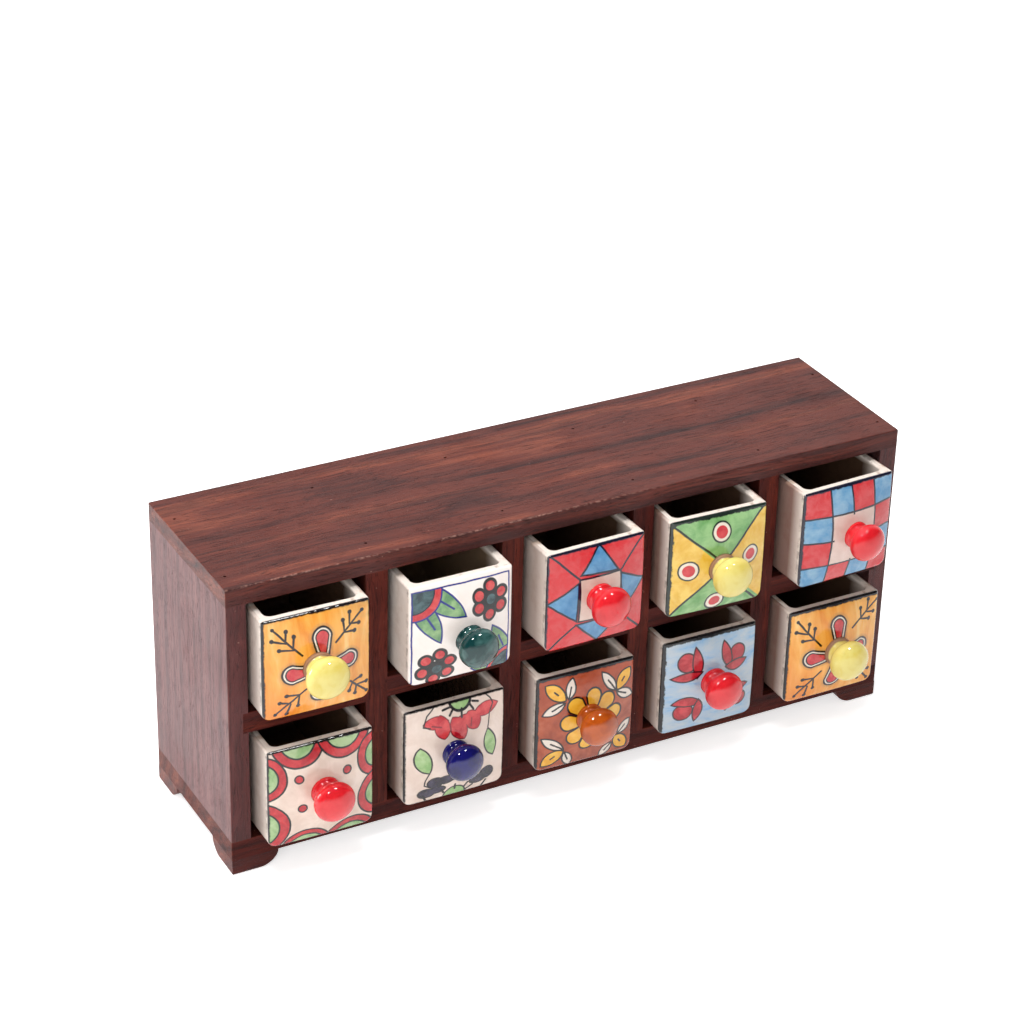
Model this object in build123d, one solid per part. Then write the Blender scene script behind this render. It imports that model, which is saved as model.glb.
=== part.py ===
# A tabletop chest of drawers: a long, shallow hardwood case with two rows of
# five square bays, and in each bay a glazed ceramic drawer with a ceramic knob.
# Millimetres, +Z up. The drawers face -Y, and +X is to the viewer's right. The
# origin is on the floor under the middle of the chest as it stands, with its
# drawers drawn out a little, so the knobs count in that middle.
import math
import os

from build123d import *

# Drawers: cast ceramic boxes, open at the top
drawer_width = 60.0
drawer_height = 59.5
drawer_length = 101.5
drawer_wall = 4.8
drawer_floor = 5.0
drawer_keel_radius = 5.0        # the two long bottom edges
drawer_end_radius = 1.8         # the upright and bottom edges of both ends
drawer_rim_radius = 1.2
drawer_inside_radius = 3.5
face_crown = 6.0                # how far the middle of a front swells out past its edges

# Knobs: a foot, a waist and a flattened round head, thrown in one piece. These are
# the sizes of a middling one
knob_seat_margin = 0.2          # ground flat round the foot
knob_seat_depth = 0.15          # where the front is lowest round the seat
knob_foot_radius = 8.1
knob_foot_depth = 2.0
knob_foot_edge = 0.7
knob_waist_radius = 6.1
knob_waist_distance = 4.1
knob_neck_radius = 7.4
knob_head_radius = 11.3
knob_rim_radius = 4.5           # the round of the head's rim, seen from the side
knob_head_half_depth = 6.4
knob_head_distance = 11.5       # from the knob's seat to the head's middle

# Knob screws: pan heads inside the drawer, shanks set in the knob
screw_radius = 2.0
screw_head_radius = 4.0
screw_head_height = 2.6
screw_head_edge = 1.2
screw_slot_width = 1.0
screw_slot_depth = 1.1
screw_grip = 9.0                # how far the shank reaches into the knob
screw_bore_spare = 1.5          # blind end of the knob's bore past the shank
screw_hole_clearance = 0.3      # round the shank in the drawer's front wall

# Play between drawers and bays
side_play = 6.8                 # both sides together
upper_head_room = 5.5
lower_head_room = 6.5
proud_when_home = 4.5           # how far a drawer pushed home stands out

# Case boards
columns = 5
side_thickness = 11.0
divider_thickness = 12.5
shelf_thickness = 12.0
top_thickness = 10.5
base_thickness = 11.5
back_thickness = 5.0
housing_depth = 3.0             # the outer shelves are let into the sides
board_edge_radius = 0.7         # rubbed down outer edges

# Feet: blocks glued under the base, with their inner ends rounded under
foot_height = 9.5
foot_size = 26.5
foot_flat = 12.0                # flat sole before the round begins
foot_outer_radius = 1.5

# Panel pins: hammered in below the surface
pin_radius = 0.8
pin_sink = 0.6
pin_reach = 16.0                # into the board behind
pin_front_inset = 13.0
pin_rear_inset = 23.0
back_pin_radius = 0.6
back_pin_reach = 10.0
back_pin_inset = 28.0           # from the top and from the base

# How the drawers stand, from left to right: how far the face is in front of the
# case, and the gap left of the drawer at its front and at its back, as shares of
# the side play
standing = {
    "upper": [
        (12.5, 0.41, 0.65),
        (15.0, 0.72, 0.85),
        (15.3, 0.85, 0.49),
        (14.4, 0.38, 0.87),
        (16.5, 0.82, 0.18),
    ],
    "lower": [
        (13.5, 0.62, 0.80),
        (10.2, 0.68, 0.68),
        (12.4, 0.57, 0.85),
        (10.4, 0.62, 0.85),
        (12.5, 0.81, 0.81),
    ],
}

# How the knobs stand: where each one's hole was drilled by hand, to the right of
# the middle of the face and above it, and the knob's size against a middling one
knob_stands = {
    "upper": [
        (-1.1, -0.3, 1.05),
        (2.7, -5.0, 0.995),
        (-0.2, 0.2, 1.02),
        (0.6, -1.3, 1.03),
        (3.3, -0.7, 0.955),
    ],
    "lower": [
        (0.4, 1.6, 1.01),
        (-1.8, 0.7, 0.95),
        (0.2, 1.7, 0.985),
        (0.7, 1.3, 1.0),
        (0.9, 0.5, 1.06),
    ],
}

# Cutters run on this far past the face that they open, and the cutter that
# shapes the fronts runs on further past their edges
overcut = 1.0
front_overcut = 4.0

# Sizes that follow
bay_width = drawer_width + side_play
bay_pitch = bay_width + divider_thickness
bay_depth = drawer_length - proud_when_home
case_depth = bay_depth + back_thickness
case_width = columns * bay_pitch - divider_thickness + 2 * side_thickness

base_bottom = foot_height
base_top = base_bottom + base_thickness
shelf_bottom = base_top + drawer_height + lower_head_room
shelf_top = shelf_bottom + shelf_thickness
top_bottom = shelf_top + drawer_height + upper_head_room
case_height = top_bottom + top_thickness
upright_height = top_bottom - base_top

knob_length = knob_head_distance + knob_head_half_depth


def front_swell(across, up):
    """How far the front stands out past its edges at a point off the middle of the face."""
    return (face_crown * (1 - (across / (drawer_width / 2)) ** 2)
            * (1 - (up / (drawer_height / 2)) ** 2))


def seat_radius(size):
    return knob_foot_radius * size + knob_seat_margin


def knob_seat(across, up, size):
    """How far out the flat seat of a knob lies, so that the whole of its foot meets it."""
    radius = seat_radius(size)
    turns = [math.radians(turn) for turn in range(0, 360, 15)]
    lowest = min(front_swell(across + radius * math.cos(turn), up + radius * math.sin(turn))
                 for turn in turns)
    return lowest - knob_seat_depth


longest_reach = max(stand[0] + knob_seat(*knob) + knob_length * knob[2] for row in standing
                    for stand, knob in zip(standing[row], knob_stands[row]))
front_y = (longest_reach - case_depth) / 2
back_y = front_y + case_depth
panel_y = back_y - back_thickness
left_x = -case_width / 2
first_bay_x = left_x + side_thickness

floor_of_row = {"lower": base_top, "upper": shelf_top}
corner = (Align.MIN, Align.MIN, Align.MIN)


def bay_x(column):
    """Left side of a bay, counted from 1 at the left."""
    return first_bay_x + (column - 1) * bay_pitch


def divider_x(number):
    """Left side of the divider that stands right of bay number."""
    return bay_x(number) + bay_width


def board(x, y, z, width, depth, height):
    """A plain board from its low corner and its size."""
    return Pos(x, y, z) * Box(width, depth, height, align=corner)


def rod(radius, start, end):
    """A round rod from one point to another."""
    path = Vector(*end) - Vector(*start)
    return extrude(Plane(origin=start, z_dir=path) * Circle(radius), path.length)


def upright_middles():
    """X of the middle of each upright board, from left to right."""
    dividers = [divider_x(n) + divider_thickness / 2 for n in range(1, columns)]
    side_middle = side_thickness / 2
    return [left_x + side_middle] + dividers + [-left_x - side_middle]


def pin_places():
    """X and Y of the pins that hold the top and the base to the uprights."""
    rows = (front_y + pin_front_inset, back_y - pin_rear_inset)
    return [(x, y) for x in upright_middles() for y in rows]


def upright_rods(low, high):
    """Rods as thick as the pins of the top and the base, at each of their places."""
    return [rod(pin_radius, (x, y, low), (x, y, high)) for x, y in pin_places()]


def top_pins():
    return upright_rods(top_bottom - pin_reach, case_height - pin_sink)


def base_pins():
    return upright_rods(base_bottom + pin_sink, base_top + pin_reach)


def back_pins():
    heights = (base_top + back_pin_inset, top_bottom - back_pin_inset)
    inner = panel_y - back_pin_reach
    dividers = upright_middles()[1:-1]
    return [rod(back_pin_radius, (x, inner, z), (x, back_y, z)) for x in dividers for z in heights]


def pin_holes():
    """Every hole that the pins make, run out to the surface over the sunk heads."""
    holes = upright_rods(top_bottom - pin_reach, case_height + overcut)
    holes += upright_rods(base_bottom - overcut, base_top + pin_reach)
    return holes + back_pins()


def rounded_slab(z, height, round_face):
    """A full-length board with the edges of its outer face and its ends rubbed down."""
    slab = board(left_x, front_y, z, case_width, case_depth, height)
    edges = slab.edges().filter_by(Axis.Z)
    if round_face:
        edges += slab.faces().sort_by(Axis.Z)[-1].edges()
    return fillet(edges, board_edge_radius)


def side(x, outer_edges, housing_x):
    """A side board, with the housing that takes the end of the outer shelf."""
    plank = board(x, front_y, base_top, side_thickness, case_depth, upright_height)
    plank = fillet(outer_edges(plank.edges().filter_by(Axis.Z)), board_edge_radius)
    housing = board(housing_x, front_y - overcut, shelf_bottom, housing_depth,
                    bay_depth + overcut, shelf_thickness)
    return plank - housing


def shelf(column):
    """The shelf of one bay. The outer two reach into the side boards."""
    start = bay_x(column) - (housing_depth if column == 1 else 0)
    end = bay_x(column) + bay_width + (housing_depth if column == columns else 0)
    return board(start, front_y, shelf_bottom, end - start, bay_depth, shelf_thickness)


def foot_profile():
    """Side view of a foot: outer edge at 0, sole at 0, inner end rounded under."""
    round_length = foot_size - foot_flat
    corner_turn = foot_outer_radius * (1 - math.sqrt(0.5))
    lines = [
        Line((0, foot_height), (0, foot_outer_radius)),
        ThreePointArc((0, foot_outer_radius), (corner_turn, corner_turn), (foot_outer_radius, 0)),
        Line((foot_outer_radius, 0), (foot_flat, 0)),
        EllipticalCenterArc((foot_flat, foot_height), round_length, foot_height, -90, arc_size=90),
        Line((foot_size, foot_height), (0, foot_height)),
    ]
    return make_face(lines)


def foot(right, back):
    """A foot, rounded the same way along the front and along the side."""
    along_front = extrude(Plane.XZ * foot_profile(), -foot_size)
    along_side = extrude(Plane.YZ * foot_profile(), foot_size)
    block = along_front & along_side
    if right:
        block = mirror(block, about=Plane.YZ)
    if back:
        block = mirror(block, about=Plane.XZ)
    return Pos(-left_x if right else left_x, back_y if back else front_y, 0) * block


def swell(half):
    """Poles of a parabola that is 1 in the middle and 0 at half a width either side."""
    reach = half + front_overcut
    end = 1 - (reach / half) ** 2
    return [(-reach, end), (0, 2 - end), (reach, end)]


def ahead_of_front():
    """What is cut away ahead of a drawer's swollen front, whose four edges are straight."""
    poles = [[(x, -face_crown * across * up, drawer_height / 2 + z)
              for x, across in swell(drawer_width / 2)] for z, up in swell(drawer_height / 2)]
    return extrude(Face.make_bezier_surface(poles), 2 * face_crown, (0, -1, 0))


def drawer_box(across, up, size):
    """A drawer with the middle of its front's bottom edge at the origin, facing -Y."""
    middle = (Align.CENTER, Align.MIN, Align.MIN)
    box = Pos(0, -face_crown, 0) * Box(
        drawer_width, face_crown + drawer_length, drawer_height, align=middle)
    keels = box.edges().filter_by(Axis.Y).sort_by(Axis.Z)[:2]
    box = fillet(keels, drawer_keel_radius) - ahead_of_front()
    # each upright edge runs on smoothly round the end face's bottom corners
    uprights = box.edges().filter_by(lambda edge: abs((edge @ 1 - edge @ 0).normalized().Z) > 0.99)
    box = fillet(uprights, drawer_end_radius)
    inside = Pos(0, drawer_wall, drawer_floor) * Box(
        drawer_width - 2 * drawer_wall, drawer_length - 2 * drawer_wall, drawer_height,
        align=middle)
    inside = fillet(inside.edges().filter_by(Axis.Z), drawer_inside_radius)
    inside = fillet(inside.faces().sort_by(Axis.Z)[0].edges(), drawer_inside_radius)
    box = box - inside
    box = fillet(box.faces().sort_by(Axis.Z)[-1].edges(), drawer_rim_radius)
    height = drawer_height / 2 + up
    seat = rod(seat_radius(size), (across, -knob_seat(across, up, size), height),
               (across, -face_crown - overcut, height))
    hole = rod(screw_radius + screw_hole_clearance, (across, -face_crown, height),
               (across, drawer_wall + overcut, height))
    return box - seat - hole


def knob(across, up, size):
    """A knob on its drawer's front, its axis along -Y, turned from its profile."""
    # the crown and the underside of the head are one wide arc each, and run on
    # smoothly into the round of the rim
    rim_middle = knob_head_radius - knob_rim_radius
    crown_radius = ((rim_middle ** 2 + knob_head_half_depth ** 2 - knob_rim_radius ** 2)
                    / (2 * (knob_head_half_depth - knob_rim_radius)))
    crown_drop = crown_radius - knob_head_half_depth
    meeting = crown_radius / (crown_radius - knob_rim_radius)
    meeting_radius = rim_middle * meeting
    meeting_rise = crown_drop * (meeting - 1)
    neck_rise = crown_drop - math.sqrt(crown_radius ** 2 - knob_neck_radius ** 2)

    def on_head(radius, rise):
        return (radius, knob_head_distance + rise)

    shoulder = (knob_foot_radius, knob_foot_depth - knob_foot_edge)
    foot_front = (knob_foot_radius - knob_foot_edge, knob_foot_depth)
    turn = knob_foot_edge * (1 - math.sqrt(0.5))
    bend = (knob_foot_radius - turn, knob_foot_depth - turn)
    waist = (knob_waist_radius, knob_waist_distance)
    neck = on_head(knob_neck_radius, neck_rise)
    under_rim = on_head(meeting_radius, -meeting_rise)
    over_rim = on_head(meeting_radius, meeting_rise)
    lines = [
        Line((0, 0), (knob_foot_radius, 0)),
        Line((knob_foot_radius, 0), shoulder),
        ThreePointArc(shoulder, bend, foot_front),
        ThreePointArc(foot_front, waist, neck),
        RadiusArc(neck, under_rim, -crown_radius),
        ThreePointArc(under_rim, on_head(knob_head_radius, 0), over_rim),
        RadiusArc(over_rim, on_head(0, knob_head_half_depth), -crown_radius),
        Line((0, knob_length), (0, 0)),
    ]
    turned = scale(revolve(make_face(lines), Axis.Y), size)
    bore = rod(screw_radius, (0, -overcut, 0), (0, screw_grip + screw_bore_spare, 0))
    seat = Pos(across, -knob_seat(across, up, size), drawer_height / 2 + up)
    return seat * Rot(0, 0, 180) * (turned - bore)


def knob_screw(across, up, size):
    """The screw that holds a knob, its slotted head inside the drawer."""
    height = drawer_height / 2 + up
    head = rod(screw_head_radius, (across, drawer_wall, height),
               (across, drawer_wall + screw_head_height, height))
    head = fillet(head.edges().sort_by(Axis.Y)[-1], screw_head_edge)
    slot = Pos(across, drawer_wall + screw_head_height, height) * Box(
        2 * screw_head_radius, 2 * screw_slot_depth, screw_slot_width)
    shank = rod(screw_radius, (across, drawer_wall, height),
                (across, -knob_seat(across, up, size) - screw_grip, height))
    return head - slot + shank


def placed(piece, row, column):
    """A piece of a drawer where that drawer stands in its bay."""
    out, front_share, back_share = standing[row][(column - 1) % len(standing[row])]
    turn = math.asin((front_share - back_share) * side_play / drawer_length)
    middle_x = bay_x(column) + front_share * side_play + drawer_width / 2 * math.cos(turn)
    return Pos(middle_x, front_y - out, floor_of_row[row]) * Rot(0, 0, math.degrees(turn)) * piece


def case_boards():
    """The boards of the case by name, before the pins are driven."""
    boards = {
        "top_board": rounded_slab(top_bottom, top_thickness, True),
        "base_board": rounded_slab(base_bottom, base_thickness, False),
        "side_left": side(left_x, lambda edges: edges.sort_by(Axis.X)[:2],
                          left_x + side_thickness - housing_depth),
        "side_right": side(-left_x - side_thickness, lambda edges: edges.sort_by(Axis.X)[-2:],
                           -left_x - side_thickness),
        "back_panel": board(first_bay_x, panel_y, base_top, case_width - 2 * side_thickness,
                            back_thickness, upright_height),
    }
    for number in range(1, columns):
        boards[f"divider_{number}"] = board(divider_x(number), front_y, base_top,
                                            divider_thickness, bay_depth, upright_height)
    return boards


def pinned(piece, holes):
    """A board with the holes of the pins that go through it."""
    room = piece.bounding_box()
    near = [hole for hole in holes
            if hole.bounding_box().min.X < room.max.X and hole.bounding_box().max.X > room.min.X
            and hole.bounding_box().min.Z < room.max.Z and hole.bounding_box().max.Z > room.min.Z]
    return piece - near if near else piece


nodes = {}
all_holes = pin_holes()
for name, piece in case_boards().items():
    nodes[name] = pinned(piece, all_holes)
for column in range(1, columns + 1):
    nodes[f"shelf_{column}"] = shelf(column)
for side_name, right in (("left", False), ("right", True)):
    nodes[f"foot_front_{side_name}"] = foot(right, False)
    nodes[f"foot_rear_{side_name}"] = foot(right, True)
nodes["top_pins"] = Compound(children=top_pins())
nodes["base_pins"] = Compound(children=base_pins())
nodes["back_pins"] = Compound(children=back_pins())

drawer_pieces = {"drawer": drawer_box, "knob": knob, "knob_screw": knob_screw}
for row in standing:
    for column in range(1, columns + 1):
        stand = knob_stands[row][(column - 1) % len(knob_stands[row])]
        for piece_name, make in drawer_pieces.items():
            nodes[f"{piece_name}_{row}_{column}"] = placed(make(*stand), row, column)

os.makedirs("parts", exist_ok=True)
for name, piece in nodes.items():
    export_step(piece, f"parts/{name}.step")
print(len(nodes), "nodes, case", case_width, case_depth, case_height, "front at", front_y)
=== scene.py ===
import math

import bpy
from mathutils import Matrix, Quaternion, Vector

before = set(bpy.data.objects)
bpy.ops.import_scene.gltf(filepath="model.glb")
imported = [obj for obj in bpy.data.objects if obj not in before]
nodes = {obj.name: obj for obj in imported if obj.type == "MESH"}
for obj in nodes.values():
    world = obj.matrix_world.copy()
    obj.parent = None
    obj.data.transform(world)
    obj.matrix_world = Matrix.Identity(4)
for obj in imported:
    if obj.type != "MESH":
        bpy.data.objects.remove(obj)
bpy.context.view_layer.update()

# Case boards

# The case is put together with pins from planed boards of a dark red-brown
# hardwood. The grain runs along the top, the base and the shelves and up the
# sides and the dividers. It has a soft sheen. Painted shade darkens its front
# edges and the inside of its bays, and a pale line on the left of the top's
# front arris is partly wear and partly a painted highlight.


class Value:
    """A socket of a material. Sums on it add Math nodes, and node() adds any other node."""

    def __init__(self, tree, socket):
        self.tree = tree
        self.socket = socket

    def node(self, kind, settings=None, sockets=None, out=0):
        made = self.tree.nodes.new(kind)
        for name, setting in (settings or {}).items():
            if name == "stops":
                ramp = made.color_ramp.elements
                while len(ramp) < len(setting):
                    ramp.new(0.5)
                for stop, (place, colour) in zip(ramp, setting):
                    stop.position = place
                    stop.color = colour
            else:
                setattr(made, name, setting)
        for name, value in (sockets or {}).items():
            if isinstance(value, Value):
                self.tree.links.new(value.socket, made.inputs[name])
            else:
                made.inputs[name].default_value = value
        return Value(self.tree, made.outputs[out] if made.outputs else None)

    def output(self, which):
        """Another output of the node that this value comes from."""
        return Value(self.tree, self.socket.node.outputs[which])

    def maths(self, operation, first, second=0.0):
        return self.node("ShaderNodeMath", {"operation": operation}, {0: first, 1: second})

    def __add__(self, other):
        return self.maths("ADD", self, other)

    __radd__ = __add__

    def __sub__(self, other):
        return self.maths("SUBTRACT", self, other)

    def __rsub__(self, other):
        return self.maths("SUBTRACT", other, self)

    def __mul__(self, other):
        return self.maths("MULTIPLY", self, other)

    __rmul__ = __mul__

    def __abs__(self):
        return self.maths("ABSOLUTE", self)

    def __and__(self, other):
        """The smaller of the two, which is where both masks are."""
        return self.maths("MINIMUM", self, other)

    def __or__(self, other):
        """The larger of the two, which is where either mask is."""
        return self.maths("MAXIMUM", self, other)

    def ramp(self, low, high):
        """0 at low and below, 1 at high and above, and straight between."""
        share = 1 / (high - low)
        return self.node("ShaderNodeMath", {"operation": "MULTIPLY_ADD", "use_clamp": True},
                         {0: self, 1: share, 2: -low * share})

    def between(self, under, over):
        """A colour that goes from under to over as this mask goes from 0 to 1."""
        return self.node("ShaderNodeMix", {"data_type": "RGBA"}, {0: self, 6: under, 7: over}, 2)

    def noise(self, scale, detail=2.0, roughness=0.5, distortion=0.0):
        """Cloudy noise between 0 and 1 at this place."""
        return self.node("ShaderNodeTexNoise", {}, {
            "Vector": self, "Scale": scale, "Detail": detail, "Roughness": roughness,
            "Distortion": distortion})

    def stretched(self, x, y, z):
        """This place with each of its directions made longer or shorter."""
        return self.node("ShaderNodeVectorMath", {"operation": "MULTIPLY"},
                         {0: self, 1: (x, y, z)})

    def moved(self, x, y, z):
        return self.node("ShaderNodeVectorMath", {"operation": "ADD"}, {0: self, 1: (x, y, z)})

    def parts(self):
        """The three numbers of this place."""
        split = self.node("ShaderNodeSeparateXYZ", {}, {0: self})
        return [split.output(number) for number in range(3)]


def colour(red, green, blue):
    """A colour read as it shows on a screen, in 256 steps."""
    def linear(step):
        share = step / 255
        return share / 12.92 if share <= 0.04045 else ((share + 0.055) / 1.055) ** 2.4
    return (linear(red), linear(green), linear(blue), 1.0)


def emptied(owner):
    """The node tree of a new material or world, emptied, to start its nodes from."""
    owner.use_nodes = True
    owner.node_tree.nodes.clear()
    return Value(owner.node_tree, None)


def new_finish(name):
    """A new material and the place of each point of the piece in millimetres."""
    material = bpy.data.materials.new(name)
    metres = emptied(material).node("ShaderNodeTexCoord", out=3)
    return material, metres.stretched(1000, 1000, 1000)


def settle(place, changing, steady):
    """Ends a material: what changes over the surface is linked, the rest is set."""
    shader = place.node("ShaderNodeBsdfPrincipled", {}, {**steady, **changing})
    place.node("ShaderNodeOutputMaterial", {}, {"Surface": shader})


def finish_piece(name, material):
    nodes[name].data.materials.clear()
    nodes[name].data.materials.append(material)


def relief(height, depth):
    """A bumpy surface from a height between 0 and 1, depth in millimetres."""
    return height.node("ShaderNodeBump", {}, {"Distance": depth / 1000, "Height": height})


# The front of the case, the inside of its bays and its top, in millimetres
front_y = -31.55
bay_left = -192.0
bay_floor = 21.0
bay_ceiling = 164.0
case_top = 174.5


def case_wood(name, grain, offset, dark, middle, pale, dust=0.0, gloss=0.3):
    """Dark hardwood whose grain runs along x or z, with a bloom of dust and a soft sheen."""
    material, place = new_finish(name)
    along = {"x": (0.026, 1, 1), "z": (1, 1, 0.026)}[grain]
    across, inward, up = place.parts()
    shaded_front_edges = inward.ramp(front_y + 0.45, front_y + 0.05)
    shaded_bay = abs(across).ramp(0.4 - bay_left, 0.1 - bay_left) & inward.ramp(front_y + 0.25, front_y + 0.65)
    shaded_bay = shaded_bay & up.ramp(bay_floor - 0.4, bay_floor - 0.1) & up.ramp(bay_ceiling + 0.4, bay_ceiling + 0.1)
    place = place.moved(*offset)
    bend = place.stretched(0.6, 1, 1).noise(0.016, 2.0, 0.5).output(1).moved(-0.5, -0.5, -0.5)
    swayed = bend.node("ShaderNodeVectorMath", {"operation": "MULTIPLY_ADD"}, {
        0: bend, 1: (12, 12, 12), 2: place})
    fibre = swayed.stretched(*along)
    sway = fibre.noise(0.028, 2.0, 0.5)
    # the growth rings, which the saw cut into long arches
    rings = fibre.node("ShaderNodeTexWave", {"wave_type": "RINGS", "rings_direction": "X"}, {
        "Vector": fibre.moved(0, 30, 12), "Scale": 0.028, "Distortion": 9.0, "Detail": 3.0,
        "Detail Scale": 0.9, "Detail Roughness": 0.6}, 1)
    ribbon = fibre.noise(0.16, 5.0, 0.65, 0.3)
    streak = fibre.noise(0.9, 4.0, 0.65)
    hair = fibre.noise(2.2, 3.0, 0.65)
    patchy = place.stretched(0.4, 1, 1).noise(0.05, 3.0, 0.6)
    figure = sway * 0.22 + rings * 0.2 + ribbon * 0.22 + streak * 0.2 + patchy * 0.16
    tone = figure.node("ShaderNodeValToRGB", {"stops": [
        (0.34, dark), (0.46, middle), (0.53, middle), (0.64, pale)]}, {0: figure})
    # dark veins, fine lines and open pores
    vein = ribbon.ramp(0.40, 0.33) | (rings.ramp(0.90, 0.99) * 0.6)
    tone = (vein * 0.6).between(tone, colour(40, 15, 15))
    lines = fibre.noise(0.42, 3.0, 0.6, 0.6).ramp(0.55, 0.63)
    tone = (lines * 0.38).between(tone, colour(46, 18, 19))
    pores = hair.ramp(0.55, 0.63) & streak.ramp(0.40, 0.55)
    tone = (pores * 0.75).between(tone, colour(30, 11, 11))
    # painted shade: the front edges, which get less light than the top, and the inside
    # of the bays are darkened
    for part, share in ((shaded_front_edges, (0.62, 0.40, 0.40, 1)), (shaded_bay, (0.40, 0.32, 0.32, 1))):
        tone = part.node("ShaderNodeMix", {"data_type": "RGBA", "blend_type": "MULTIPLY"}, {
            0: part, 6: tone, 7: share}, 2)
    # small nicks, and a pale line on the left of the top's front arris: wear and a painted highlight
    nicks = place.noise(0.75, 1.0, 0.5).ramp(0.79, 0.81)
    wear_and_highlight = inward.ramp(front_y + 0.85, front_y + 0.35) & up.ramp(case_top - 0.8, case_top - 0.4)
    wear_and_highlight = wear_and_highlight & across.ramp(60, -20)
    wear_and_highlight = wear_and_highlight & place.noise(0.35, 4.0, 0.75).ramp(0.48, 0.62)
    tone = (nicks * 0.5 + wear_and_highlight * 0.45).between(tone, colour(196, 146, 130))
    worn = place.noise(0.02, 4.0, 0.6).ramp(0.50, 0.75)
    rough = 0.42 + worn * 0.12 + pores * 0.25
    height = streak * 0.4 + hair * 0.3 - pores * 1.2 - nicks * 0.6
    settle(place, {"Base Color": tone, "Roughness": rough, "Normal": relief(height, 0.09)},
           {"IOR": 1.45, "Specular IOR Level": gloss, "Sheen Weight": dust, "Sheen Roughness": 0.35,
            "Sheen Tint": colour(236, 214, 220)})
    return material


def break_edges(name):
    """Breaks the sharp edges of a board, so that its joints show as fine grooves."""
    edge = nodes[name].modifiers.new("broken_edges", "BEVEL")
    edge.width = 0.35 / 1000
    edge.segments = 2
    edge.limit_method = "ANGLE"
    edge.angle_limit = math.radians(50)
    edge.harden_normals = True


dark_wood = (colour(50, 18, 17), colour(93, 41, 32), colour(130, 66, 48))
long_wood = case_wood("case_wood_long", "x", (3, 8, 2), *dark_wood)
base_wood = case_wood("case_wood_base", "x", (70, 31, 45), *dark_wood, gloss=0.12)
shelf_wood = case_wood("case_wood_shelf", "x", (90, 30, 0), *dark_wood, gloss=0.12)
upright_wood = case_wood("case_wood_upright", "z", (40, 3, 9), *dark_wood, gloss=0.12)
side_wood = case_wood("case_wood_side", "z", (11, 60, 5), colour(72, 35, 34), colour(104, 60, 58),
                      colour(124, 78, 74), dust=0.24)

boards = {"top_board": long_wood, "base_board": base_wood, "side_left": side_wood,
          "side_right": side_wood}
boards.update({f"divider_{number}": upright_wood for number in range(1, 5)})
boards.update({f"shelf_{number}": shelf_wood for number in range(1, 6)})
for name, wood in boards.items():
    finish_piece(name, wood)
    break_edges(name)

# Feet

# Four blocks of the same wood under the corners of the base. Their inner ends are
# rounded under, and a little dust lies on them.

foot_wood = case_wood("case_wood_feet", "x", (15, 70, 31), *dark_wood, dust=0.1, gloss=0.2)
for name in ("foot_front_left", "foot_front_right", "foot_rear_left", "foot_rear_right"):
    finish_piece(name, foot_wood)
    break_edges(name)

# Back panel

# A guess, because the photograph doesn't show it: a thin board let in between the
# sides and pinned to the dividers, of a plainer and paler wood.

back_wood = case_wood("back_wood_panel", "x", (5, 5, 60), colour(70, 42, 33), colour(104, 66, 50),
                      colour(130, 90, 68))
finish_piece("back_panel", back_wood)

# Pins

# Steel panel pins, hammered in below the surface, with dull brown heads.

pin_steel, place = new_finish("pin_steel")
rust = place.noise(1.5, 3.0, 0.6).ramp(0.4, 0.7)
settle(place, {"Base Color": rust.between(colour(72, 44, 38), colour(88, 46, 36)),
               "Roughness": 0.45 + rust * 0.3}, {"Metallic": 0.6})
for name in ("top_pins", "base_pins", "back_pins"):
    finish_piece(name, pin_steel)

# Drawers

# Ceramic boxes under a cream glaze, bare of it in places along the rims. Each
# front swells out in its middle, and its pattern is painted by hand, in coloured
# glazes with dark lines between them.

# How each drawer stands: how far it is pulled out, and the share of its side play
# that is on its left at the front and at the back
standing = {
    "upper": [(12.5, 0.41, 0.65), (15.0, 0.72, 0.85), (15.3, 0.85, 0.49), (14.4, 0.38, 0.87),
              (16.5, 0.82, 0.18)],
    "lower": [(13.5, 0.62, 0.80), (10.2, 0.68, 0.68), (12.4, 0.57, 0.85), (10.4, 0.62, 0.85),
              (12.5, 0.81, 0.81)],
}
bay_pitch = 79.3
side_play = 6.8
drawer_length = 101.5
half_width = 30.0
half_height = 29.75
drawer_floors = {"upper": 99.0, "lower": bay_floor}

ink = colour(14, 11, 15)
navy = colour(16, 16, 40)
cream = colour(240, 227, 216)
bare_clay = colour(196, 160, 132)


def on_front(name, row, column):
    """A new material and the place on a drawer: right, inward and up from its front's middle."""
    out, front_share, back_share = standing[row][column - 1]
    turn = math.asin((front_share - back_share) * side_play / drawer_length)
    left_edge = bay_left + (column - 1) * bay_pitch + front_share * side_play
    middle = (left_edge + half_width * math.cos(turn), front_y - out, drawer_floors[row] + half_height)
    material, place = new_finish(name)
    place = place.node("ShaderNodeMapping", {"vector_type": "TEXTURE"}, {
        "Vector": place, "Location": middle, "Rotation": (0, 0, turn)})
    return material, place


def unsteady(place, sway, scale):
    """The place with a waver in it, as a brush gives."""
    waver = place.noise(scale, 4.0, 0.55).output(1).moved(-0.5, -0.5, -0.5)
    return place.node("ShaderNodeVectorMath", {"operation": "MULTIPLY_ADD"}, {
        0: waver, 1: (sway, 0, sway), 2: place})


def from_point(face, x, y):
    return face.node("ShaderNodeVectorMath", {"operation": "DISTANCE"},
                     {0: face, 1: (x, 0, y)}, 1)


def spot(face, x, y, radius):
    """How far each point is outside a round spot. The other shapes are given the same way,
    so the smaller of two shapes is both together, and the larger is where they overlap."""
    return from_point(face, x, y) - radius


def together(shapes):
    """One shape made of several."""
    whole = shapes[0]
    for shape in shapes[1:]:
        whole = whole & shape
    return whole


def oval(face, x, y, wide, high):
    least = min(wide, high)
    squeezed = face.moved(-x, 0, -y).stretched(least / wide, 1, least / high)
    return from_point(squeezed, 0, 0) - least


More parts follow.
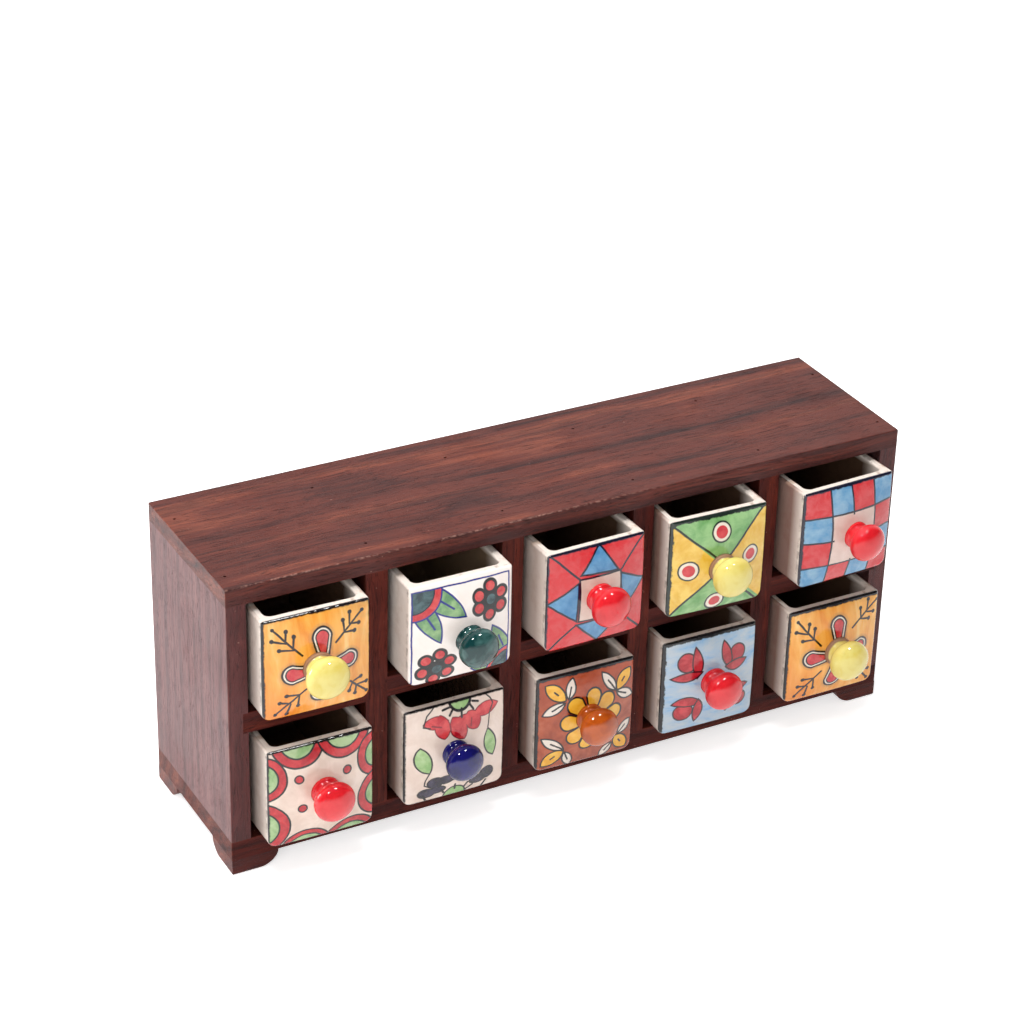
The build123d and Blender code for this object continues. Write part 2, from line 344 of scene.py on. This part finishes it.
def stroke(face, start, end, half=0.4, end_half=None):
    """A straight stroke of the brush, as wide at its end as end_half says."""
    run = Vector((end[0] - start[0], 0, end[1] - start[1]))
    off = face.moved(-start[0], 0, -start[1])
    share = off.node("ShaderNodeVectorMath", {"operation": "DOT_PRODUCT"},
                     {0: off, 1: run / run.length_squared}, 1)
    share = share.ramp(0, 1)
    along = share.node("ShaderNodeVectorMath", {"operation": "SCALE"}, {0: run, 3: share})
    gap = off.node("ShaderNodeVectorMath", {"operation": "DISTANCE"}, {0: off, 1: along}, 1)
    if end_half is None:
        return gap - half
    return gap - (share * (end_half - half) + half)


def strokes(face, points, half=0.4):
    """Strokes from each point to the next."""
    return together([stroke(face, start, end, half) for start, end in zip(points, points[1:])])


def leaf(face, start, end, left, right):
    """A leaf between two tips that bulges to the left and to the right of the line."""
    run = Vector((end[0] - start[0], end[1] - start[1]))
    middle = Vector(start) + run / 2
    across = Vector((-run.y, run.x)).normalized()
    discs = []
    for bulge, way in ((left, across), (right, -across)):
        radius = (run.length_squared / 4 + bulge ** 2) / (2 * bulge)
        centre = middle - way * (radius - bulge)
        discs.append(spot(face, centre.x, centre.y, radius))
    return discs[0] | discs[1]


def inside(shape, edge=0.0, soft=0.35):
    """1 inside a shape and 0 outside it."""
    return shape.ramp(edge + soft / 2, edge - soft / 2)


def filled(paint, shape, new, edge=0.0):
    """The paint with a shape filled in, made larger all round by the given edge."""
    return inside(shape, edge).between(paint, new)


def outlined(paint, shape, width=1.1, new=ink, middle=0.0):
    """The paint with a line along the edge of a shape, or as far outside it as middle says."""
    return inside(abs(shape - middle), width / 2).between(paint, new)


def washed(face, scale, *stops):
    """Watery glaze that pools darker in places."""
    cloud = face.noise(scale, 4.0, 0.6, 0.4)
    return cloud.node("ShaderNodeValToRGB", {"stops": stops}, {0: cloud})


def red_wash(face, strong=(198, 38, 52), pale=(214, 84, 84)):
    return washed(face, 0.12, (0.42, colour(*strong)), (0.62, colour(*pale)))


def edge_lines(paint, face, left=0.0, top=0.0, right=0.0, bottom=0.0, new=ink):
    """A ragged dark line along the edges of the front, in the widths given."""
    across, inward, up = face.parts()
    ragged = face.noise(0.35, 3.0, 0.6) * 2.4 - 1.2
    side = half_width - 0.1
    end = half_height - 0.1
    for width, edge in ((left, -side - across), (right, across - side), (top, up - end),
                        (bottom, -end - up)):
        if width:
            paint = (edge + ragged * min(1.0, width / 2)).ramp(-width - 0.3, -width + 0.3).between(
                paint, new)
    return paint


def glazed(material, place, paint, worn=0.5, side_shade=0.4, depth=colour(84, 62, 48)):
    """Puts a painted front on its cream drawer and gives both their glaze: worn at the rims,
    with painted shade along the sides, brown with light thrown back from the wood, and
    painted shade of the depth's colour within."""
    across, inward, up = place.parts()
    specks = place.noise(2.6, 2.0, 0.7).ramp(0.70, 0.76)
    smear = place.noise(0.10, 4.0, 0.65)
    body = (smear.ramp(0.50, 0.80) * 0.5).between(cream, colour(200, 172, 152))
    wall = abs(across) - (half_width - 1.5)
    # painted shade: below the rim and behind the front, the inside darkened to the depth's colour
    shaded_inside = inward.ramp(6, 22) & wall.ramp(0.3, -0.3) & up.ramp(29.3, 26)
    body = shaded_inside.between(body, depth)
    # painted shade, brown with light thrown back from the wood, on the outer sides and bottom, deepening
    # from the front towards the back
    outside = wall.ramp(-0.3, 0.3) | up.ramp(-28.5, -29)
    body = (inward.ramp(2, 11) * outside * side_shade).between(body, colour(112, 58, 40))
    smears = smear.ramp(0.52, 0.66)
    body = ((inward.ramp(3.5, 0.5) & smears) * 0.7).between(body, colour(60, 46, 44))
    body = ((up.ramp(28.0, 29.4) & smears) * worn).between(body, bare_clay)
    tone = inward.ramp(1.1, 0.7).between(body, paint)
    tone = (specks * 0.35).between(tone, colour(70, 52, 44))
    rough = 0.06 + smear.ramp(0.35, 0.75) * 0.07 + specks * 0.3
    waves = place.noise(0.16, 2.0, 0.5) * 0.8 - specks * 0.2
    settle(place, {"Base Color": tone, "Roughness": rough, "Normal": relief(waves, 0.35)},
           {"IOR": 1.52})
    finish_piece(material.name.replace("painted", "drawer"), material)


def sprig(face, stem, twigs):
    """A bare twig: a stem from the flower to the corner, and side twigs that end in dots."""
    shapes = [stroke(face, *stem, 0.6), spot(face, *stem[1], 1.1)]
    for start, end in twigs:
        shapes += [stroke(face, start, end, 0.5, 0.7), spot(face, *end, 1.2)]
    return together(shapes)


def petal_front(name, row, column, petals, sprigs, top=1.2, side_shade=0.4):
    """Orange ground, four red petals round the knob, and a twig to each corner."""
    material, place = on_front(name, row, column)
    face = unsteady(place.stretched(1, 0, 1), 1.3, 0.09)
    down = face.stretched(1, 1, 0.22)
    paint = washed(down, 0.11, (0.30, colour(226, 128, 36)), (0.46, colour(240, 160, 62)),
                   (0.60, colour(247, 178, 84)), (0.74, colour(252, 204, 128)))
    across, inward, up = face.parts()
    pooled = (across * -0.03 + up * -0.035).ramp(0.6, 1.9)
    paint = (pooled * 0.6).between(paint, colour(228, 112, 30))
    olive = (across * 0.03 + up * 0.03).ramp(0.9, 1.7) & face.noise(0.09, 2.0).ramp(0.4, 0.6)
    paint = (olive * 0.35).between(paint, colour(150, 128, 60))
    red = red_wash(face)
    for foot, tip, radius in petals:
        petal = stroke(face, foot, tip, 3.6, radius)
        paint = (petal.ramp(2.2, 0.2) * 0.35).between(paint, colour(110, 100, 96))
        paint = filled(paint, petal, ink, 0.25)
        paint = filled(paint, petal, colour(236, 226, 214), -0.85)
        paint = filled(paint, petal, ink, -1.6)
        paint = filled(paint, petal, red, -2.35)
    paint = filled(paint, together([sprig(face, *branches) for branches in sprigs]), ink)
    paint = edge_lines(paint, face, left=1.4, top=top, right=0.5)
    glazed(material, place, paint, side_shade=side_shade)


petal_front("painted_upper_1", "upper", 1, [
    ((1.8, 7), (1.7, 15.8), 5.7), ((-7, -2), (-14.6, -2.4), 5.9), ((8, -1), (16.6, -0.4), 5.4),
    ((1, -8), (1, -16.8), 5.8)], [
    (((-9.7, 8), (-24.2, 24.2)), [((-18, 16.3), (-17.2, 22.2)), ((-14.2, 12.2), (-13.4, 19.2)),
                                  ((-17.6, 16), (-25, 18)), ((-13.8, 11.8), (-21.3, 12.6))]),
    (((9.1, 11.2), (25.3, 24.2)), [((14.2, 15.5), (14, 21.8)), ((17.4, 18.8), (18.2, 25)),
                                   ((14, 15), (20.3, 14.2)), ((17.8, 18.8), (23, 17.6))]),
    (((-6.7, -12), (-23.4, -26.6)), [((-11, -15.5), (-17.6, -15.3)), ((-11, -16.2), (-11.2, -22.7)),
                                     ((-15.5, -20.3), (-21, -19.3)),
                                     ((-15.3, -20.8), (-17, -27.2))]),
    (((17.8, -15.3), (27.8, -25)), [((20, -16), (24, -14.7)), ((21.6, -19), (27.8, -19)),
                                    ((19, -17), (17.7, -21.8)), ((21.6, -19.5), (21.2, -24.3))])])
petal_front("painted_lower_5", "lower", 5, [
    ((1.3, 8), (1.3, 16.6), 5.5), ((-7, -1.5), (-15, -1.4), 5.8), ((8.5, -1), (16.8, -0.8), 5.5),
    ((0.5, -9), (0.2, -18.3), 5.7)], [
    (((-10.5, 6.3), (-24.3, 23)), [((-18.3, 15.5), (-17.3, 20.7)), ((-18.6, 15), (-25.3, 16.8)),
                                   ((-14.8, 11.8), (-14, 17.8)), ((-14.8, 11), (-21.3, 11))]),
    (((10.8, 12.6), (28.9, 24.7)), [((16.8, 16.3), (17, 22.6)), ((21.4, 19.3), (22.8, 26.3)),
                                    ((16.8, 16), (23.1, 14.3)), ((21.4, 18.8), (26.4, 17.6))]),
    (((-8.6, -10.8), (-23.2, -26.3)), [((-12.8, -15.2), (-19.2, -15.2)),
                                       ((-12.8, -15.8), (-11.9, -22.4)),
                                       ((-16.5, -20), (-21.7, -19.7)),
                                       ((-15.7, -20.3), (-16.5, -26.8))]),
    (((17, -15.5), (26, -26.6)), [((21.4, -20), (26.4, -20.2)), ((20.8, -20.3), (19.3, -24.5))])],
    top=2.0, side_shade=0.8)

# Red scallops round the edge of a cream front, each with green inside it, and four
# red dots
material, place = on_front("painted_lower_1", "lower", 1)
face = unsteady(place.stretched(1, 0, 1), 1.2, 0.08)
paint = washed(face, 0.08, (0.4, colour(222, 200, 184)), (0.66, colour(238, 220, 206)))
green = washed(face, 0.1, (0.38, colour(134, 172, 112)), (0.6, colour(172, 196, 146)))
red = red_wash(face, (178, 22, 36), (206, 48, 54))
for x, y, outer, inner in ((-12.5, 33, 15, 10), (13, 33, 15, 10), (-34, 13, 14, 9.5),
                           (-34, -17.5, 15.5, 10), (-9, -37, 15, 11.5), (17, -37, 15.5, 11.5),
                           (34, 14, 14, 9), (34, -10.5, 14, 9)):
    ring = spot(face, x, y, outer)
    paint = filled(paint, ring, ink, 0.5)
    paint = filled(paint, ring, red, -0.5)
    paint = filled(paint, ring, ink, inner - outer + 0.5)
    paint = filled(paint, ring, green, inner - outer - 0.45)
for x, y in ((-13.8, 11.5), (13.3, 10.5), (-12.3, -6.3), (13.5, -8)):
    dot = spot(face, x, y, 2.4)
    paint = filled(filled(paint, dot, ink, 0.35), dot, red, -0.5)
paint = edge_lines(paint, face, left=0.8, top=1.2)
glazed(material, place, paint)

# White front with two flowers of six red dots and, in the two other corners, a
# quarter sun in dark teal and cobalt with two green leaves
material, place = on_front("painted_upper_2", "upper", 2)
face = unsteady(place.moved(0.5, 0, 1.3).stretched(1.043, 0, 1.033), 1.2, 0.08)
across, inward, up = face.parts()
ground = washed(face, 0.07, (0.4, colour(246, 234, 226)), (0.7, colour(252, 243, 237)))
paint = ground
cobalt = colour(34, 44, 128)
teal = washed(face, 0.15, (0.4, colour(28, 52, 58)), (0.65, colour(70, 100, 104)))
leaf_green = washed(face, 0.12, (0.4, colour(96, 142, 96)), (0.65, colour(150, 186, 130)))
red = red_wash(face, (196, 40, 48), (216, 78, 76))
for start, end, left, right, vein in (
        ((-27, 32.5), (1, 10.7), 6.2, 6.2, ((-13.6, 22.6), (-6, 16.7))),
        ((-30.7, 30.8), (-13.7, -2.4), 6.2, 5.8, ((-22, 15), (-17.2, 6.3))),
        ((32.2, -35.9), (17.8, 0.3), 5.5, 6.2, ((26, -16), (22.5, -8))),
        ((28, -27), (6.5, -26), 4.2, 4.2, ((17, -26.4), (11, -26.2)))):
    shape = leaf(face, start, end, left, right)
    paint = filled(paint, shape, leaf_green)
    paint = outlined(paint, shape, 1.0, cobalt)
    paint = filled(paint, stroke(face, *vein, 0.6), cobalt)
for x, y, core, rim in ((-30, 30, 14, 18.4), (30, -30, 10.5, 13.2)):
    sun = spot(face, x, y, rim)
    paint = filled(paint, sun, cobalt, 0.5)
    paint = filled(paint, sun, red, -0.5)
    paint = filled(paint, sun, navy, core - rim + 0.3)
    paint = filled(paint, sun, teal, core - rim - 0.4)
for middle, dots in (
        ((17, 16.3), ((17, 24), (9.7, 19.8), (9.3, 13), (15.8, 8), (23.3, 11), (23.7, 18.7))),
        ((-14.8, -20), ((-13.8, -10.3), (-21.5, -13.7), (-23, -21.6), (-16.3, -26.6),
                        (-8.4, -23.3), (-8, -15.3)))):
    flower = together([spot(face, *middle, 6.0)] + [spot(face, *dot, 4.5) for dot in dots])
    paint = filled(paint, flower, ink)
    paint = filled(paint, spot(face, *middle, 2.8), teal)
    for dot in dots:
        paint = filled(paint, spot(face, *dot, 2.75), red)
frame_half = 29.2
ruled = abs(across) | abs(up)
paint = inside(ruled, frame_half).between(ground, paint)
paint = outlined(paint, ruled, 0.9, cobalt, frame_half)
# this drawer has lighter painted shade within and little along its sides
glazed(material, place, paint, 0.2, 0.05, colour(128, 106, 84))

# Cream front with a red flower hanging from the top, a purple one standing on the
# bottom edge, and a green leaf on a thin stem at each side
material, place = on_front("painted_lower_2", "lower", 2)
face = unsteady(place.stretched(1, 0, 1), 1.1, 0.09)
paint = washed(face, 0.07, (0.4, colour(226, 204, 190)), (0.7, colour(240, 222, 210)))
red = red_wash(face, (190, 22, 40), (222, 70, 72))
green = washed(face, 0.12, (0.4, colour(136, 180, 108)), (0.65, colour(178, 206, 148)))
purple = washed(face, 0.12, (0.4, colour(34, 28, 46)), (0.65, colour(66, 58, 84)))
dark_red = colour(120, 16, 32)
top_petals = together([leaf(face, start, end, bulge, bulge) for start, end, bulge in (
    ((-5, 20.5), (-19.5, 20.4), 3.4), ((-9.5, 24), (-8, 10.4), 4.4), ((-2.5, 21.5), (3.6, 8.2), 4.8),
    ((7, 22.5), (11.8, 12.0), 4.6), ((10, 20), (25.5, 22.6), 3.8), ((-4, 18), (13, 19), 3.0))])
paint = outlined(filled(paint, top_petals, red), top_petals, 0.6, dark_red)
for start, end in (((-14.5, 19.2), (-9.4, 17.6)), ((-4.4, 18), (-4.2, 14.6)),
                   ((8.6, 18.5), (8, 14.4))):
    paint = filled(paint, stroke(face, start, end, 0.35), dark_red)
low_petals = together([oval(face, *petal) for petal in (
    (-12.4, -17, 4.6, 3.6), (-6.5, -16.2, 5, 2.8), (-17, -23.6, 5, 3.2), (-10.8, -22.4, 4.6, 2.6),
    (18.6, -19.6, 4.4, 4), (13.4, -22.2, 5, 3), (0, -15, 5, 3))])
paint = outlined(filled(paint, low_petals, purple), low_petals, 0.7)
for start, end, left, right in (((-21.5, 7.2), (-16.3, -9.7), 5.6, 3.4),
                                ((18.5, 9.2), (22.3, -9), 4.2, 3.4)):
    shape = leaf(face, start, end, right, left)
    paint = outlined(filled(paint, shape, green), shape, 0.9)
for x, y, radius, width in ((3, 30.5, 6.4, 1.6), (0, -29.5, 6.5, 0.9)):
    heart = spot(face, x, y, radius)
    paint = outlined(filled(paint, heart, green), heart, width)
stems = [strokes(face, points) for points in (
    ((-11.9, 29.7), (-17, 25), (-19.4, 19.2), (-15.7, 18.2)),
    ((17.3, 30.5), (21, 26.3), (22.3, 23), (19.8, 18), (18.5, 9.2)),
    ((-16.3, -9.7), (-18.3, -14.5), (-18.6, -17.8), (-15.7, -19.5)))]
rays = [stroke(face, start, end, 0.62) for start, end in (
    ((-2.7, 27.2), (-7.7, 26.2)), ((-1.9, 25.5), (-4, 22.8)), ((3.3, 25), (2.8, 20.5)),
    ((8.5, 26), (10.2, 23)), ((10.2, 27.3), (13.5, 26.5)), ((-6.5, -26.2), (-8.2, -23.2)),
    ((-0.2, -25), (-0.4, -21.6)), ((5.6, -25.3), (7.3, -22.4)), ((6.4, -28.3), (10.6, -25.6)),
    ((-19, -25.3), (-15.7, -30.8)), ((18.9, -25), (15.6, -30)))]
paint = filled(paint, together(stems + rays), ink)
paint = edge_lines(paint, face, left=1.1, top=0.9, right=0.7, bottom=0.7)
glazed(material, place, paint, side_shade=0.8)

# Red front with a cream square round the knob, a blue triangle on each side of
# it, and a dark line to each corner
material, place = on_front("painted_upper_3", "upper", 3)
face = unsteady(place.stretched(1, 0, 1), 1.2, 0.08)
across, inward, up = face.parts()
paint = red_wash(face, (212, 34, 42), (214, 62, 66))
blue = washed(face, 0.1, (0.4, colour(64, 128, 178)), (0.65, colour(104, 160, 200)))


def tented(face, base_x, base_y, apex_x, apex_y, half):
    """A triangle on a level or upright base, from the middle of its base to its apex."""
    run = Vector((apex_x - base_x, 0, apex_y - base_y))
    along = run.normalized()
    side = Vector((-along.z, 0, along.x))
    slope = half / run.length
    off = face.moved(-base_x, 0, -base_y)
    rise = off.node("ShaderNodeVectorMath", {"operation": "DOT_PRODUCT"}, {0: off, 1: along}, 1)
    drift = off.node("ShaderNodeVectorMath", {"operation": "DOT_PRODUCT"}, {0: off, 1: side}, 1)
    flank = (abs(drift) + rise * slope - half) * (1 / math.hypot(1, slope))
    return flank | (0 - rise)


for triangle in ((0.2, 14.5, 1.3, 29.8, 11.4), (-13.2, -0.4, -29.7, 0, 11.6),
                 (13.9, 0.1, 29.5, 2.6, 12.1), (0.3, -13.4, 1.6, -29.5, 13.7)):
    shape = tented(face, *triangle)
    paint = outlined(filled(paint, shape, blue), shape, 1.1, navy)
square = (abs(across - 0.4) - 12.6) | (abs(up - 0.2) - 12.8)
paint = filled(paint, square, washed(face, 0.08, (0.4, colour(212, 186, 172)),
                                     (0.7, colour(228, 208, 196))))
paint = outlined(paint, square, 1.1, navy)
corner_lines = [stroke(face, start, end, 0.6) for start, end in (
    ((-28, 29), (-12.2, 13.4)), ((28.7, 28.4), (13.7, 13.4)), ((-28.4, -29), (-13.4, -14.5)),
    ((29, -28.7), (14, -14)))]
paint = filled(paint, together(corner_lines), navy)
paint = edge_lines(paint, face, left=0.9, top=1.2, new=navy)
glazed(material, place, paint)

# Rust ground, a yellow flower of eight petals round the knob, and a yellow leaf
# between two white ones in each corner
material, place = on_front("painted_lower_3", "lower", 3)
face = unsteady(place.stretched(1, 0, 1), 1.1, 0.09)
up = face.parts()[2]
paint = washed(face, 0.09, (0.35, colour(146, 60, 30)), (0.52, colour(172, 78, 44)),
               (0.72, colour(186, 96, 62)))
# painted reflection: the ground darker and deeper towards the top, as the dark room mirrored in the
# glaze makes it
paint = (up.ramp(2, 24) * 0.6).between(paint, colour(170, 62, 14))
yellow = washed(face, 0.1, (0.4, colour(232, 166, 36)), (0.65, colour(244, 192, 74)))
white = colour(232, 220, 208)
for x, y, radius in ((3.1, 14.0, 4.6), (-7.7, 10.2, 5.2), (11.4, 9.4, 4.8), (-12, 0.5, 4.9),
                     (-8.2, -9.2, 4.9), (-0.3, -15.2, 4.4), (16.2, 0.5, 4.7), (12, -9.5, 4.9)):
    petal = stroke(face, (x * 0.55 + 0.7, y * 0.55 - 0.2), (x, y), 3.0, radius)
    paint = outlined(filled(paint, petal, yellow), petal)
corner_leaves = (
    ((-24.8, 24.8), (-13.6, 14.7), 3.5, yellow), ((-8.6, 26.3), (-11.9, 15), 2.5, white),
    ((-26.5, 6.5), (-14, 13.4), 2.5, white), ((9.3, 25.5), (17.3, 13), 2.5, white),
    ((27.3, 23.8), (18.1, 13), 3.5, yellow), ((29.3, 6.3), (17.7, 12.2), 2.5, white),
    ((-26.9, -8.3), (-14, -17), 2.5, white), ((-26.5, -26.6), (-14, -17.8), 3.5, yellow),
    ((-8.6, -29.5), (-13.2, -19), 2.5, white), ((28, -9), (19.8, -16.2), 2.5, white),
    ((26, -27), (18.1, -17), 3.5, yellow), ((9.8, -29), (16.4, -21), 2.5, white))
for tip, foot, bulge, tone in corner_leaves:
    shape = leaf(face, tip, foot, bulge * 1.15, bulge * 1.15)
    paint = outlined(filled(paint, shape, tone), shape, 0.9)
    for near, far in ((0.42, 0.6), (0.66, 0.92)) if tone is white else ((0.45, 0.62),):
        mark = (Vector(tip).lerp(Vector(foot), near), Vector(tip).lerp(Vector(foot), far))
        paint = filled(paint, stroke(face, *mark, 0.5), ink)
paint = edge_lines(paint, face, left=1.6, top=2.0)
glazed(material, place, paint, side_shade=0.8)

# A dark cross parts the front into green above and below and yellow at the
# sides, with a ringed red dot in each part
material, place = on_front("painted_upper_4", "upper", 4)
face = unsteady(place.stretched(1, 0, 1), 1.4, 0.08)
across, inward, up = face.parts()
green = washed(face, 0.1, (0.35, colour(104, 160, 92)), (0.62, colour(150, 194, 130)))
yellow = washed(face, 0.1, (0.35, colour(228, 176, 52)), (0.62, colour(244, 206, 100)))
red = red_wash(face, (196, 36, 48), (216, 66, 70))
paint = (abs(across) - abs(up)).ramp(-0.3, 0.3).between(green, yellow)
pine = colour(28, 40, 34)
cross = [strokes(face, points, 0.65) for points in (
    ((-28.5, 27.5), (-6.3, 8.4), (0, 2)), ((28.8, 29.3), (7, 7.6), (0, 1)),
    ((-28.5, -28.8), (-5.5, -6.6), (0, -1)), ((25.3, -28.3), (17.8, -21.2), (4, -5)))]
paint = filled(paint, together(cross), pine)
for x, y, core, pale, rim in ((0.3, 19.7, 3.6, 5.1, 6.1), (-19.2, -0.2, 3.6, 5.2, 6.1),
                              (19, 2.3, 3.3, 4.8, 5.7), (-1.3, -23.3, 3.4, 5.0, 6.1)):
    dot = spot(face, x, y, rim)
    paint = filled(paint, dot, pine)
    paint = filled(paint, dot, colour(236, 224, 208), pale - rim)
    paint = filled(paint, dot, red, core - rim)
paint = filled(paint, spot(face, -29, 29, 3.2), pine)
paint = edge_lines(paint, face, left=1.9, top=2.0, right=0.6, bottom=0.8, new=pine)
glazed(material, place, paint, side_shade=0.8)

# Pale blue watery ground with three red tulip petals towards each corner
material, place = on_front("painted_lower_4", "lower", 4)
face = unsteady(place.stretched(1, 0, 1), 1.1, 0.09)
brushed = face.stretched(0.45, 1, 1.2)
paint = washed(brushed, 0.13, (0.30, colour(112, 166, 212)), (0.42, colour(156, 186, 212)),
               (0.60, colour(184, 197, 207)))
red = red_wash(face, (172, 20, 36), (204, 56, 64))
plum = colour(52, 18, 28)
for x, y, radius in ((-15.4, 15.8, 5.6), (16.6, 14.8, 5.2), (-16.6, -16, 5.6), (19.6, -16, 4.6)):
    petal = spot(face, x, y, radius)
    paint = outlined(filled(paint, petal, red), petal, 0.9, plum)
for start, end, left, right in (
        ((-10, 5.5), (-9.7, 23.8), 2.4, 3.8), ((-25, 7), (-6.5, 9), 1.8, 3.6),
        ((11.6, 7), (8.3, 23.8), 3.6, 2.6), ((8, 9), (23.1, 9.4), 1.8, 4.2),
        ((-23.8, -10), (-6, -11), 4.6, 1.8), ((-8.3, -24.5), (-8.2, -8), 2.4, 3.4),
        ((25.2, -7.8), (10, -9.5), 2.4, 3.4), ((11.8, -22.8), (11.5, -9), 2.8, 2.6)):
    petal = leaf(face, start, end, left, right)
    paint = outlined(filled(paint, petal, red), petal, 0.9, plum)
paint = edge_lines(paint, face, left=2.2, top=2.2, right=0.6)
glazed(material, place, paint, side_shade=0.8)

# A check of red, cream and blue squares, ruled with dark lines by hand
material, place = on_front("painted_upper_5", "upper", 5)
face = unsteady(place.stretched(1, 0, 1), 1.3, 0.07)
across, inward, up = face.parts()
red = red_wash(face, (208, 32, 40), (214, 70, 74))
blue = washed(face, 0.09, (0.4, colour(84, 146, 190)), (0.65, colour(140, 180, 206)))
pale = washed(face, 0.08, (0.4, colour(218, 194, 182)), (0.7, colour(232, 212, 202)))
rows = ("RBRB", "BCCR", "RCCB", "BRBR")
tones = {"R": red, "B": blue, "C": pale}
uprights = (-12.5, 1.5, 16.5)
levels = (13.8, -1.4, -17.3)
bands = []
for row in rows:
    band = tones[row[0]]
    for x, letter in zip(uprights, row[1:]):
        band = across.ramp(x - 0.2, x + 0.2).between(band, tones[letter])
    bands.append(band)
paint = bands[0]
for y, band in zip(levels, bands[1:]):
    paint = up.ramp(y + 0.2, y - 0.2).between(paint, band)
lines = [abs(across - x) for x in uprights] + [abs(up - y) for y in levels]
# the middle line of each three stops at the cream square
middle_square = (abs(across - 2) - 13.5) | (abs(up + 1.8) - 14.5)
for number in (1, 4):
    lines[number] = lines[number] | (0 - middle_square)
paint = filled(paint, together(lines), navy, 0.55)
paint = edge_lines(paint, face, left=1.4, top=1.4, new=navy)
glazed(material, place, paint, side_shade=0.8)

# Knobs

# Each is one round piece under a glossy glaze of one colour, and the yellow ones
# are bare round the foot. The screws that hold them from inside are a guess.

knob_glazes = {
    "red": (colour(222, 38, 46), colour(208, 26, 36)),
    "yellow": (colour(228, 212, 122), colour(222, 200, 98)),
    "teal": (colour(14, 54, 54), colour(70, 108, 104)),
    "blue": (colour(22, 20, 100), colour(12, 10, 74)),
    "orange": (colour(186, 84, 20), colour(158, 64, 14))}
knob_rows = {"upper": ("yellow", "teal", "red", "yellow", "red"),
             "lower": ("red", "blue", "orange", "red", "yellow")}
for row, glazes in knob_rows.items():
    for column, glaze in enumerate(glazes, 1):
        material, place = on_front(f"knob_glaze_{row}_{column}", row, column)
        thick, thin = knob_glazes[glaze]
        inward = place.parts()[1]
        cloud = place.noise(0.12, 3.0, 0.55, 0.5)
        tone = cloud.ramp(0.45, 0.70).between(thick, thin)
        rough = 0.02 + cloud * 0.03
        if glaze == "yellow":
            bare = (inward + cloud * 1.2).ramp(-7.2, -6.8)
            tone = bare.between(tone, colour(150, 112, 84))
            rough = rough + bare * 0.5
        settle(place, {"Base Color": tone, "Roughness": rough,
                       "Normal": relief(place.noise(0.2, 2.0), 0.1)}, {"IOR": 1.52})
        finish_piece(f"knob_{row}_{column}", material)
        finish_piece(f"knob_screw_{row}_{column}", pin_steel)

# Floor and light

# A plain white floor under soft lamps. The room behind the camera is dark, and it
# shows in the upper half of each glazed front, as the floor does in the lower.

floor_mesh = bpy.data.meshes.new("floor")
floor_half = 8.0
corners = [(floor_half * x, floor_half * y, 0) for x, y in ((-1, -1), (1, -1), (1, 1), (-1, 1))]
floor_mesh.from_pydata(corners, [], [(0, 1, 2, 3)])
floor = bpy.data.objects.new("floor", floor_mesh)
bpy.context.collection.objects.link(floor)
floor_paper = bpy.data.materials.new("floor_paper")
start = emptied(floor_paper)
ray = start.node("ShaderNodeLightPath")
shown = ray.output("Is Camera Ray") | ray.output("Is Glossy Ray") | ray.output("Is Transmission Ray")
lit = start.node("ShaderNodeBsdfDiffuse", {}, {"Color": (0.9, 0.9, 0.9, 1)})
white = start.node("ShaderNodeEmission", {}, {"Color": (1, 1, 1, 1), "Strength": shown * 0.62})
both = start.node("ShaderNodeAddShader", {}, {0: lit, 1: white})
start.node("ShaderNodeOutputMaterial", {}, {"Surface": both})
floor_mesh.materials.append(floor_paper)

world = bpy.data.worlds.new("studio")
bpy.context.scene.world = world
start = emptied(world)
ray = start.node("ShaderNodeLightPath")
camera_ray, glossy_ray = ray.output("Is Camera Ray"), ray.output("Is Glossy Ray")
across, inward, up = start.node("ShaderNodeTexCoord").parts()
dark_room = up.ramp(0.0, 0.10) & inward.ramp(0.10, -0.25) & glossy_ray
light = dark_room.between((1, 1, 1, 1), (0.05, 0.048, 0.046, 1))
strength = (camera_ray | glossy_ray) * 0.60 + 0.40
background = start.node("ShaderNodeBackground", {}, {"Color": light, "Strength": strength})
start.node("ShaderNodeOutputWorld", {}, {"Surface": background})


def lamp(name, place, aim, size, power, mirrored=True):
    """A soft square lamp that faces a point of the chest. Its glazes show it if mirrored."""
    light = bpy.data.lights.new(name, "AREA")
    light.size = size
    light.energy = power
    stand = bpy.data.objects.new(name, light)
    stand.location = place
    stand.rotation_mode = "QUATERNION"
    stand.rotation_quaternion = (Vector(aim) - Vector(place)).to_track_quat("-Z", "Y")
    bpy.context.collection.objects.link(stand)
    stand.visible_glossy = mirrored
    return stand


chest_middle = (0, 0, 0.09)
lamp("lamp_front", (-1.3, -1.4, 0.95), chest_middle, 0.9, 13, mirrored=False)
lamp("lamp_top", (-0.3, 0.0, 1.9), chest_middle, 1.0, 33, mirrored=False)
lamp("lamp_left", (-1.6, 0.9, 0.55), (-0.1, 0, 0.09), 0.7, 16)
# Two lamps show only as the bright spots on the knobs and the glazes
for name, place in (("window_left", (-1.1, -1.5, 2.1)), ("window_right", (0.5, -1.3, 2.2))):
    lamp(name, place, chest_middle, 0.34, 38).visible_diffuse = False

# Camera

# It looks down on the chest from the left of its front, from about 1.6 m away.
# Its place, direction and lens were worked out from the straight edges of the case.

camera_data = bpy.data.cameras.new("camera")
camera_data.lens = 104.6
camera_data.sensor_width = 36
camera = bpy.data.objects.new("camera", camera_data)
bpy.context.collection.objects.link(camera)
camera.location = (-0.6936, -1.2197, 0.9301)
forward = Vector((0.42137, 0.76701, -0.48388)).normalized()
camera.rotation_mode = "QUATERNION"
roll = Quaternion((0, 0, 1), math.radians(1.512))
camera.rotation_quaternion = forward.to_track_quat("-Z", "Y") @ roll
bpy.context.scene.camera = camera
bpy.context.scene.view_settings.view_transform = "Standard"
